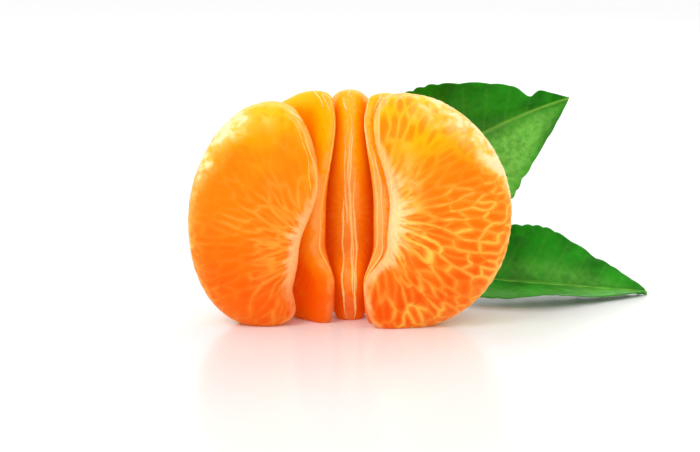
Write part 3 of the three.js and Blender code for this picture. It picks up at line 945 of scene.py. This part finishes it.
class ThreadPaths:
    """Collects threads laid on one segment's skin as rows and columns of its grid."""

    def __init__(self, skin, seed):
        self.skin, self.chance = skin, np.random.default_rng(seed)
        top, low = int(np.argmax(skin.outline[:, 1])), int(np.argmin(skin.outline[:, 1]))
        self.outer = (low - skin.around, top)
        self.inner = (top, low)
        self.points, self.edges, self.radius, self.tone = [], [], [], []

    def lay(self, rows, columns, radius, tone):
        """One thread; it thins towards both ends."""
        places = self.skin.at(np.asarray(rows), np.asarray(columns))
        inward = np.array([self.skin.wedge.heart, 0, 0]) - places * (1, 1, 0.6)
        places = places + inward / np.linalg.norm(inward, axis=1, keepdims=True) * radius * 0.25
        first, n = len(self.points), len(places)
        s = np.linspace(0, 1, n)
        size = radius * np.clip(np.minimum(s, 1 - s) * 5, 0.12, 1)
        size = size * (0.85 + 0.2 * np.sin(s * n * 0.21 + radius * 90)) * self.chance.uniform(0.85, 1.15, n)
        self.points.extend(places)
        self.edges.extend((first + k, first + k + 1) for k in range(n - 1))
        self.radius.extend(size)
        self.tone.extend([tone] * n)

    def along(self, run, start, stop, offset, sway, radius, tone):
        """A thread along the outer or inner run, offset rows aside from the outline and swaying."""
        n = int(abs(stop - start) * POINTS_ALONG) + FEWEST_POINTS
        s = np.linspace(start, stop, n)
        columns = run[0] + (run[1] - run[0]) * s
        phase = self.chance.uniform(0, 6.3, 3)
        wander = sum(np.sin(s * f + p) / k for k, (f, p) in enumerate(zip((9, 21, 47), phase), 1))
        rows = self.skin.rows + offset * (0.3 + 0.7 * np.sin(math.pi * np.clip(s, 0, 1))) + sway * wander
        self.lay(rows, columns, radius, tone)

    def net(self, count, reach):
        """Threads from pole to pole over the outer side, with short ones across between them."""
        draw = self.chance.uniform
        for offset in np.linspace(-reach, reach, count):
            begin, stop = draw(0.03, 0.2), draw(0.8, 0.97)
            self.along(self.outer, begin, stop, offset + draw(-3, 3), 2.4, draw(0.16, 0.3), draw(0.5, 1))
        run = np.linspace(0, 1, 14)
        for _ in range(count * 7):
            s = draw(0.12, 0.85)
            row = draw(-reach, reach)
            slant = draw(-0.06, 0.06)
            rows = self.skin.rows + row + self.chance.choice((-1, 1)) * draw(8, 20) * run
            rows = rows + 1.2 * np.sin(run * 9 + row)
            columns = self.outer[0] + (self.outer[1] - self.outer[0]) * (s + slant * run)
            self.lay(rows, columns, draw(0.1, 0.18), draw(0.3, 0.8))

    def object(self, name, wedge, lowest):
        """The threads as polylines in their place, held clear of the floor."""
        placed, _ = stand(np.array(self.points), wedge, self.skin.shape, lowest)
        placed[:, 2] = np.maximum(placed[:, 2], FLOOR_CLEARANCE * np.array(self.radius))
        mesh = bpy.data.meshes.new(name)
        mesh.from_pydata((placed * MM).tolist(), self.edges, [])
        write_attributes(mesh, {"thread_radius": np.array(self.radius) * MM, "tone": self.tone})
        return link(name, mesh)


def thread_tree():
    """Geometry nodes that turn polylines into soft uneven threads."""
    tree = bpy.data.node_groups.new("pith_threads", "GeometryNodeTree")
    face = tree.interface
    face.new_socket("Geometry", in_out="INPUT", socket_type="NodeSocketGeometry")
    for name in ("Thickness", "Unevenness", "Lumps"):
        face.new_socket(name, in_out="INPUT", socket_type="NodeSocketFloat")
    face.new_socket("Sides", in_out="INPUT", socket_type="NodeSocketInt")
    face.new_socket("Material", in_out="INPUT", socket_type="NodeSocketMaterial")
    face.new_socket("Geometry", in_out="OUTPUT", socket_type="NodeSocketGeometry")
    given, out = tree.nodes.new("NodeGroupInput").outputs, tree.nodes.new("NodeGroupOutput")

    def add(kind, values, settings=None):
        return add_node(tree, kind, settings, values).outputs[0]

    def maths(operation, first, second):
        return add("ShaderNodeMath", {0: first, 1: second}, {"operation": operation})

    curve = add("GeometryNodeMeshToCurve", {"Mesh": given["Geometry"]})
    radius = add("GeometryNodeInputNamedAttribute", {"Name": "thread_radius"}, {"data_type": "FLOAT"})
    ring = add("GeometryNodeCurvePrimitiveCircle", {"Resolution": given["Sides"], "Radius": 1.0})
    scale = maths("MULTIPLY", radius, given["Thickness"])
    swept = add("GeometryNodeCurveToMesh", {0: curve, 1: ring, "Scale": scale, "Fill Caps": True})
    lumps = add("ShaderNodeTexNoise", {"Scale": given["Lumps"], "Detail": 2.0})
    height = maths("MULTIPLY", maths("SUBTRACT", lumps, 0.5), given["Unevenness"])
    normal = add("GeometryNodeInputNormal", {})
    offset = add("ShaderNodeVectorMath", {0: normal, "Scale": height}, {"operation": "SCALE"})
    moved = add("GeometryNodeSetPosition", {"Geometry": swept, "Offset": offset})
    smooth = add("GeometryNodeSetShadeSmooth", {"Geometry": moved})
    real = add("GeometryNodeRealizeInstances", {"Geometry": smooth})
    painted = add("GeometryNodeSetMaterial", {"Geometry": real, "Material": given["Material"]})
    tree.links.new(painted, out.inputs["Geometry"])
    return tree


def sweep_threads(lines, tree, material):
    """Turns an object of polylines into threads by running their tree on it."""
    modifier = lines.modifiers.new("threads", "NODES")
    modifier.node_group = tree
    values = {"Thickness": 1.0, "Unevenness": 0.25 * MM, "Lumps": 1600.0, "Sides": 7, "Material": material}
    for item in tree.interface.items_tree:
        if item.in_out == "INPUT" and item.name in values:
            modifier[item.identifier] = values[item.name]
    graph = bpy.context.evaluated_depsgraph_get()
    mesh = bpy.data.meshes.new_from_object(lines.evaluated_get(graph))
    lines.modifiers.remove(modifier)
    lines.data = mesh


def lay_threads(paths, name):
    """The threads that each segment wears: its net, its own strands and three short ends at the top."""
    paths.net(5, 20)
    for side, start, stop, offset, sway, radius, tone in STRANDS[name]:
        paths.along(getattr(paths, side), start, stop, offset, sway, radius, tone)
    draw = paths.chance.uniform
    for _ in range(3):
        start = draw(-0.05, 0.06)
        stop, offset = start + draw(0.06, 0.12), draw(-12, 12)
        paths.along(paths.inner, start, stop, offset, 4.0, draw(0.14, 0.26), draw(0.3, 0.9))


class MANDARIN_OT_threads(bpy.types.Operator):
    """Make the threads of pith that still cling to the segments"""

    bl_idname = "mandarin.threads"
    bl_label = "Pith threads"

    def execute(self, context):
        flesh = context.scene.mandarin_flesh
        wedge, tree, material = Wedge(flesh), thread_tree(), pith_finish()
        for number, name in enumerate(SEGMENTS):
            skin = SegmentSkin(wedge, SEGMENTS[name], *THREAD_GRID)
            lowest = stand(skin.grid.reshape(-1, 3), wedge, SEGMENTS[name])[1]
            paths = ThreadPaths(skin, THREAD_SEED + number)
            lay_threads(paths, name)
            piece = paths.object(name.replace("segment_", "threads_"), wedge, lowest)
            sweep_threads(piece, tree, material)
            hand_over(piece, name)
        return {"FINISHED"}


class MANDARIN_OT_segments(bpy.types.Operator):
    """Make the five segments of the opened fruit"""

    bl_idname = "mandarin.segments"
    bl_label = "Segments"

    def execute(self, context):
        flesh = context.scene.mandarin_flesh
        material = flesh_finish(flesh)
        for number, name in enumerate(SEGMENTS):
            make_segment(name, flesh, material, SEED_STEP * (number + 1))
        return {"FINISHED"}


# ---------------------------------------------------------------- leaves and twig

LEAF_FLOOR, TWIG_FLOOR = 0.02, 0.01  # least heights, in millimetres
TOOTH_SPACING = 3.3  # along the margin, in millimetres


def leaf_plans(context):
    """Where each leaf starts, how it runs and how its halves fold; the same rule as the solid leaves."""
    flesh, leaf, twig = (getattr(context.scene, "mandarin_" + key) for key in ("flesh", "leaf", "twig"))
    wedge = Wedge(flesh)
    behind = wedge.back + leaf.clearance / MM
    length, height, join = twig.length / MM, twig.node_height / MM, twig.join / MM
    tip = wedge.core + np.array([2.5, behind - 1.9, height])
    bend = wedge.core + np.array([2.5 - length * 0.4, behind + 0.4, height - 0.4])
    end = wedge.core + np.array([2.5 - length, behind + 2.5, twig.radius / MM])
    upper = bend + np.array([2.5, 0, twig.radius / MM + join + leaf.petiole / MM / 2])
    lower = tip + np.array([2 * join, 0, 0])
    # sets_out, ends: heading and climb in degrees; faces, tip_faces: where the upper side looks at the base and
    # at the tip; folds: degrees that each half lifts by at the base and at the tip; dents: for each half, place
    # along the blade, breadth and depth; sheen: place and breadth along the blade, place and breadth across it
    # (-1 to 1), and strength.
    plans = {
        "leaf_upper": dict(
            length=leaf.upper_length / MM, width=leaf.upper_width / MM, base=upper, sets_out=(0, 50),
            ends=(-3, 18), faces=(0.1, -1, 0.3), tip_faces=(0.1, -1, 0), folds=((12, 12), (2, 42)),
            fullest=0.95, wave=1.2, waves=2, dents={-1: ((0.72, 0.03, 0.03),), 1: ((0.87, 0.025, 0.42),)},
            sheen=((0.62, 0.2, -0.55, 0.45, 1.5), (0.85, 0.12, -0.4, 0.4, 0.6), (0.5, 0.2, 0.5, 0.3, 0.2)),
        ),
        "leaf_lower": dict(
            length=leaf.lower_length / MM, width=leaf.lower_width / MM, base=lower, sets_out=(2, -6),
            ends=(-1, -4), faces=(0, -0.35, 1), tip_faces=(0, -0.35, 1), folds=((8, 25), (35, 25)),
            fullest=1.08, wave=0.8, waves=2, dents={-1: (), 1: ((0.8, 0.03, 0.05),)},
            sheen=((0.62, 0.22, 0.2, 0.22, 0.4), (0.85, 0.2, -0.5, 0.6, 0.5), (0.4, 0.3, -0.8, 0.3, 0.3)),
        ),
    }
    return plans, (end, bend, tip)


def heading(angles):
    """The direction of a heading and a climb, both in degrees."""
    h, c = (math.radians(a) for a in angles)
    return np.array([math.cos(h) * math.cos(c), math.sin(h) * math.cos(c), math.sin(c)])


def side_veins(along, across, spacing):
    """Millimetres to the nearest side vein; they leave the midrib at a slant and bend towards the tip."""
    lean = along - 0.62 * np.abs(across) + 0.012 * across**2
    shifted = lean + np.where(across > 0, 0.45 * spacing, 0)
    phase = (shifted / spacing) % 1
    return np.minimum(phase, 1 - phase) * spacing


def margin(side, plan, blade, a_mm):
    """How far out one half's margin lies, as a share of its width, with its teeth and dents."""
    teeth = np.abs(np.sin(a_mm * math.pi / TOOTH_SPACING + 1.4 * np.sin(a_mm * 0.31 + side)))
    uneven = noise(np.stack([a_mm, a_mm * 0 + side, a_mm * 0], -1), 5.0, 12) - 0.5
    dents = sum(deep * np.exp(-(((blade - at) / wide) ** 2)) for at, wide, deep in plan["dents"][side])
    return 1 + (0.028 * teeth + 0.07 * uneven) * smoothstep(blade, 0.1, 0.3) - dents


def sheet_faces(m, n):
    """Faces of a closed sheet of m by n points of its upper side, followed by as many of its under side."""
    index = np.arange(m * n).reshape(m, n)
    below = index + m * n
    return [
        np.stack([index[:-1, :-1], index[1:, :-1], index[1:, 1:], index[:-1, 1:]], -1).reshape(-1, 4),
        np.stack([below[:-1, :-1], below[:-1, 1:], below[1:, 1:], below[1:, :-1]], -1).reshape(-1, 4),
        np.stack([index[:-1, 0], below[:-1, 0], below[1:, 0], index[1:, 0]], -1),
        np.stack([index[:-1, -1], index[1:, -1], below[1:, -1], below[:-1, -1]], -1),
        np.stack([index[0, :-1], index[0, 1:], below[0, 1:], below[0, :-1]], -1),
        np.stack([index[-1, :-1], below[-1, :-1], below[-1, 1:], index[-1, 1:]], -1),
    ]


def make_leaf(name, plan, leaf, material, steps=250, lanes=110):
    """A blade with its veins and scalloped margin, as a closed sheet."""
    half = plan["length"] / 2
    p0 = plan["base"]
    p1 = p0 + heading(plan["sets_out"]) * half
    p2 = p1 + heading(plan["ends"]) * half
    s = np.linspace(0, 1, steps + 1)[:, None]
    centre = bow(p0, p1, p2, s)
    along = unit(2 * (1 - s) * (p1 - p0) + 2 * s * (p2 - p1))
    facing = np.array(plan["faces"]) * (1 - s) + np.array(plan["tip_faces"]) * s
    across = unit(np.cross(facing, along))
    up = unit(np.cross(along, across))
    s = s[:, 0]
    petiole = leaf.petiole_length / MM / plan["length"]
    blade = np.maximum(0, (s - petiole) / (1 - petiole))
    spread = np.sin(math.pi * blade ** plan["fullest"]) ** 0.9
    width = plan["width"] / 2 * spread * (1 - 0.12 * blade)
    a_mm = s * plan["length"]
    least = leaf.petiole / MM / 2 * (1 - smoothstep(blade, 0.1, 0.9)) + 0.1
    v = np.linspace(-1, 1, lanes + 1)
    v = np.sign(v) * np.abs(v) ** 0.9
    sides = [np.maximum(least, width * margin(side, plan, blade, a_mm)) for side in (-1, 1)]
    out = v[None, :] * np.where(v[None, :] < 0, sides[0][:, None], sides[1][:, None])
    folds = plan["folds"]
    fold_a, fold_b = (np.radians(f[0] + (f[1] - f[0]) * s) * np.minimum(1, blade * 4) for f in folds)
    fold = np.where(v[None, :] < 0, fold_a[:, None], fold_b[:, None])
    swing = np.sin(2 * math.pi * plan["waves"] * s)
    wave = plan["wave"] * v[None, :] ** 2 * swing[:, None] * spread[:, None]
    lift = np.abs(out) * np.sin(fold) + wave
    length_mm = np.broadcast_to(a_mm[:, None], out.shape)
    near = side_veins(length_mm, out, leaf.vein_spacing / MM)
    body = smoothstep(blade, 0.0, 0.12)[:, None] * np.ones_like(out)
    edge = 1 - np.abs(v)[None, :] * np.ones_like(out)
    side = (1 - smoothstep(near, 0.12, 0.55)) * smoothstep(edge, 0.02, 0.2) * body
    midrib = 1 - smoothstep(np.abs(out), 0.25, 0.75)
    thin_midrib = 1 - smoothstep(np.abs(out), 0.14, 0.5)
    flat = np.stack([length_mm.ravel(), out.ravel(), np.zeros(out.size)], -1)
    quilt = 0.55 * smoothstep(near, 0, 2.2) * body * smoothstep(edge, 0, 0.25)
    crinkle = layered_noise(flat, 4.5, 7).reshape(out.shape) - 0.5
    net = noise(flat, 0.9, 9).reshape(out.shape)
    relief = 0.22 * quilt + 0.5 * crinkle * body * smoothstep(np.abs(out), 0, 3) - 0.28 * midrib * body
    sideways = across[:, None] * (out * np.cos(fold))[..., None]
    middle = centre[:, None] + sideways + up[:, None] * (lift + relief)[..., None]
    stalk = np.clip(s / petiole, 0, 1)
    thick = (leaf.petiole / MM * (1 - stalk) + leaf.thickness / MM * stalk)[:, None] * np.ones_like(out)
    thick = thick * (0.35 + 0.65 * smoothstep(edge, 0, 0.04))
    rib = 0.75 * midrib * (1 - 0.75 * blade)[:, None] * body
    top = middle + up[:, None] * (thick / 2)[..., None]
    low = middle - up[:, None] * (thick / 2 + rib + 0.12 * side)[..., None]
    points = np.concatenate([top.reshape(-1, 3), low.reshape(-1, 3)])
    points[:, 2] = np.maximum(points[:, 2], LEAF_FLOOR)

    def both(upper, under):
        return np.concatenate([upper.ravel(), under.ravel()])

    # Painted highlight: pale glossy patches, by place along and across the blade, on the upper side only.
    sheen = sum(
        amount * np.exp(-(((blade[:, None] - at) / wide) ** 2) - (((v[None, :] - beside) / broad) ** 2))
        for at, wide, beside, broad, amount in plan["sheen"]
    )
    marks = {
        "leaf_vein": both(np.maximum(thin_midrib * body, 0.08 * side), np.maximum(midrib, 0.8 * side)),
        "sheen": both(np.clip(sheen, 0, 1), 0 * out),
        "leaf_net": both(net, net),
        "under": both(np.zeros_like(out), np.ones_like(out)),
    }
    piece = new_mesh_object(name.replace("leaf_", "blade_"), points, sheet_faces(*out.shape), marks, material)
    hand_over(piece, name)


class MANDARIN_OT_leaves(bpy.types.Operator):
    """Make the two leaves"""

    bl_idname = "mandarin.leaves"
    bl_label = "Leaves"

    def execute(self, context):
        leaf = context.scene.mandarin_leaf
        material = leaf_finish(leaf)
        for name, plan in leaf_plans(context)[0].items():
            make_leaf(name, plan, leaf, material)
        return {"FINISHED"}


class MANDARIN_OT_twig(bpy.types.Operator):
    """Make the twig that carries the leaves"""

    bl_idname = "mandarin.twig"
    bl_label = "Twig"

    def execute(self, context):
        end, bend, tip = leaf_plans(context)[1]
        radius = context.scene.mandarin_twig.radius / MM
        s = np.linspace(0, 1, 121)[:, None]
        centre = bow(end, 2 * bend - (end + tip) / 2, tip, s)
        along = unit(np.gradient(centre, axis=0))
        side = unit(np.cross(np.array([0, 0, 1.0]), along))
        up = np.cross(along, side)
        turn = np.linspace(0, 2 * math.pi, 48, endpoint=False)
        ring = np.cos(turn)[None, :, None] * side[:, None] + np.sin(turn)[None, :, None] * up[:, None]
        flat = (centre[:, None] + ring * radius).reshape(-1, 3)
        rough = (layered_noise(flat * np.array([0.4, 1, 1]), 0.9, 3) - 0.5).reshape(len(s), -1)
        knots = ((0.62, 0.35), (0.985, 0.3))
        knot = sum(high * np.exp(-(((s[:, 0] - at) / 0.03) ** 2)) for at, high in knots)
        size = radius * (0.93 - 0.12 * s[:, 0])[:, None] + 0.22 * rough + knot[:, None]
        points = (centre[:, None] + ring * size[..., None]).reshape(-1, 3)
        points = np.concatenate([points, centre[:1], centre[-1:]])
        points[:, 2] = np.maximum(points[:, 2], TWIG_FLOOR)
        # The cut shows at the first ring and at the point in its middle.
        cut = np.zeros(len(points))
        cut[-2] = 1
        cut[: len(turn)] = 0.7
        faces = tube_faces(len(s), len(turn))
        piece = new_mesh_object("bark_twig", points, faces, {"cut": cut}, bark_finish())
        hand_over(piece, "twig")
        return {"FINISHED"}


# ---------------------------------------------------------------- stage


class MANDARIN_OT_stage(bpy.types.Operator):
    """Set the pale floor, the soft lights and the camera"""

    bl_idname = "mandarin.stage"
    bl_label = "Stage"

    def execute(self, context):
        scene, stage = context.scene, context.scene.mandarin_stage
        core = Vector(Wedge(scene.mandarin_flesh).core * MM)
        mesh = bpy.data.meshes.new("floor")
        mesh.from_pydata([(-4, -4, 0), (4, -4, 0), (4, 4, 0), (-4, 4, 0)], [], [(0, 1, 2, 3)])
        mesh.materials.append(floor_finish())
        link("floor", mesh)

        world = bpy.data.worlds.new("studio")
        scene.world = world
        world.use_nodes = True
        background = world.node_tree.nodes["Background"]
        background.inputs["Color"].default_value = (1, 1, 1, 1)
        background.inputs["Strength"].default_value = 1.0
        self.light("key", core + Vector((-0.35, -0.35, 0.6)), core, 0.3, 1.6)
        self.light("back", core + Vector((0.3, 0.5, 0.45)), core, 0.3, 1.2)
        scene.view_settings.view_transform = "Standard"

        camera = bpy.data.cameras.new("camera")
        camera.lens = stage.lens
        camera.sensor_width = 36
        camera.clip_start = 0.01
        taken = link("camera", camera)
        aim = core + Vector((0, 0, stage.aim_height))
        back = Vector((0, -math.cos(stage.elevation), math.sin(stage.elevation)))
        taken.location = aim + back * stage.distance
        taken.rotation_mode = "QUATERNION"
        taken.rotation_quaternion = (-back).to_track_quat("-Z", "Y")
        scene.camera = taken
        return {"FINISHED"}

    def light(self, name, place, aim, size, power):
        """A square soft light that looks at aim."""
        lamp = bpy.data.lights.new(name, "AREA")
        lamp.size = size
        lamp.energy = power
        held = link(name, lamp)
        held.location = place
        held.rotation_mode = "QUATERNION"
        held.rotation_quaternion = (aim - place).to_track_quat("-Z", "Y")


# ---------------------------------------------------------------- add-on


class MANDARIN_PT_panel(bpy.types.Panel):
    """Lists the steps and their settings"""

    bl_label = "Opened mandarin"
    bl_idname = "MANDARIN_PT_panel"
    bl_space_type = "VIEW_3D"
    bl_region_type = "UI"
    bl_category = "Mandarin"

    def draw(self, context):
        for step in STEPS:
            self.layout.operator(step.bl_idname)
        for key in SETTINGS:
            box = self.layout.box()
            group = getattr(context.scene, key)
            for name in group.bl_rna.properties.keys():
                if name not in ("name", "rna_type"):
                    box.prop(group, name)


STEPS = (MANDARIN_OT_segments, MANDARIN_OT_threads, MANDARIN_OT_leaves, MANDARIN_OT_twig, MANDARIN_OT_stage)
SETTINGS = {
    "mandarin_flesh": MandarinFleshSettings,
    "mandarin_leaf": MandarinLeafSettings,
    "mandarin_twig": MandarinTwigSettings,
    "mandarin_stage": MandarinStageSettings,
}


def register():
    for key, group in SETTINGS.items():
        bpy.utils.register_class(group)
        setattr(bpy.types.Scene, key, PointerProperty(type=group))
    for each in (*STEPS, MANDARIN_PT_panel):
        bpy.utils.register_class(each)


def unregister():
    for each in (MANDARIN_PT_panel, *reversed(STEPS)):
        bpy.utils.unregister_class(each)
    for key, group in reversed(SETTINGS.items()):
        delattr(bpy.types.Scene, key)
        bpy.utils.unregister_class(group)


def main():
    register()
    bpy.ops.mandarin.segments()
    bpy.ops.mandarin.threads()
    bpy.ops.mandarin.leaves()
    bpy.ops.mandarin.twig()
    bpy.ops.mandarin.stage()


if __name__ == "__main__":
    main()
